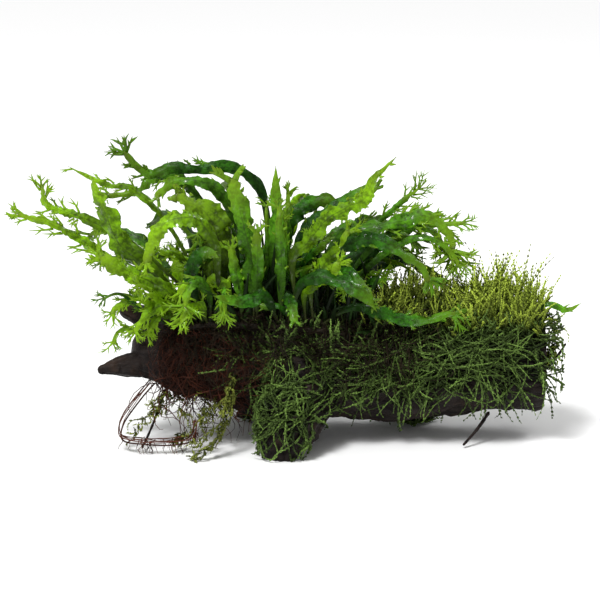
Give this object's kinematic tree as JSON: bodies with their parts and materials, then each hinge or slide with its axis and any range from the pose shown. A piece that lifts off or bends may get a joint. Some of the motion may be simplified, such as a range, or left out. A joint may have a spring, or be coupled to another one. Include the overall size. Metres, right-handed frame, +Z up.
{
  "type": "java fern on driftwood",
  "caption": "clump of lacy-tipped java fern with upright moss shoots, root felt and trailing roots, growing on a dark forked piece of driftwood with a sawn end",
  "frame": {"origin": "under the middle of the whole object's box, on the surface it rests on", "axes": "+X along the log to its sawn end, +Y to the back, +Z up"},
  "size_m": [0.3106, 0.1239, 0.1664],
  "materials": {
    "driftwood": "wet, dark, weathered",
    "leaf_bright": "glossy wet leaf",
    "leaf_brown": "glossy wet leaf",
    "leaf_dark": "glossy wet leaf",
    "leaf_mid": "glossy wet leaf",
    "moss_bright": "wet moss",
    "moss_dark": "wet moss",
    "rhizome_brown": "rough",
    "root_brown": "matted fibre",
    "twig_dark": "wet bark"
  },
  "bodies": {
    "root": {"driftwood_foot": "driftwood", "driftwood_prong": "driftwood", "driftwood_rear_knuckle": "driftwood", "driftwood_right_knuckle": "driftwood", "driftwood_stub": "driftwood", "driftwood_trunk": "driftwood", "frond_back_centre": "leaf_bright", "frond_back_far_left": "leaf_mid", "frond_back_left": "leaf_dark", "frond_back_low": "leaf_dark", "frond_back_low_right": "leaf_dark", "frond_back_right": "leaf_mid", "frond_back_tall": "leaf_mid", "frond_broad_brown": "leaf_brown", "frond_broad_left": "leaf_bright", "frond_centre_side": "leaf_mid", "frond_centre_tall": "leaf_mid", "frond_crest_left": "leaf_bright", "frond_curled": "leaf_dark", "frond_dark_behind": "leaf_dark", "frond_dark_low_left": "leaf_dark", "frond_dark_mid": "leaf_dark", "frond_drooping_left": "leaf_mid", "frond_far_left": "leaf_bright", "frond_fine_right": "leaf_mid", "frond_forked": "leaf_mid", "frond_glossy_front": "leaf_dark", "frond_hanging_fork": "leaf_mid", "frond_high_arch": "leaf_dark", "frond_loop_right": "leaf_mid", "frond_low_right": "leaf_dark", "frond_pale_right": "leaf_dark", "frond_right_flag": "leaf_bright", "frond_right_tip": "leaf_mid", "frond_right_under": "leaf_dark", "frond_s_curve": "leaf_bright", "frond_small_end": "leaf_mid", "frond_small_left": "leaf_dark", "frond_small_prong": "leaf_bright", "frond_thin_left": "leaf_bright", "frond_under_arch": "leaf_mid", "frond_upturned_left": "leaf_bright", "moss_back": "moss_dark", "moss_back_left": "moss_dark", "moss_end_stem": "moss_bright", "moss_foot": "moss_dark", "moss_front_left": "moss_dark", "moss_front_right": "moss_dark", "moss_top_middle": "moss_bright", "moss_top_right": "moss_bright", "moss_trailer": "moss_dark", "rhizome": "rhizome_brown", "rhizome_back": "rhizome_brown", "rhizome_front": "rhizome_brown", "root_loop": "root_brown", "root_mat": "root_brown", "twig_end": "twig_dark", "twig_left": "twig_dark", "twig_right": "twig_dark"}
  },
  "joints": []
}
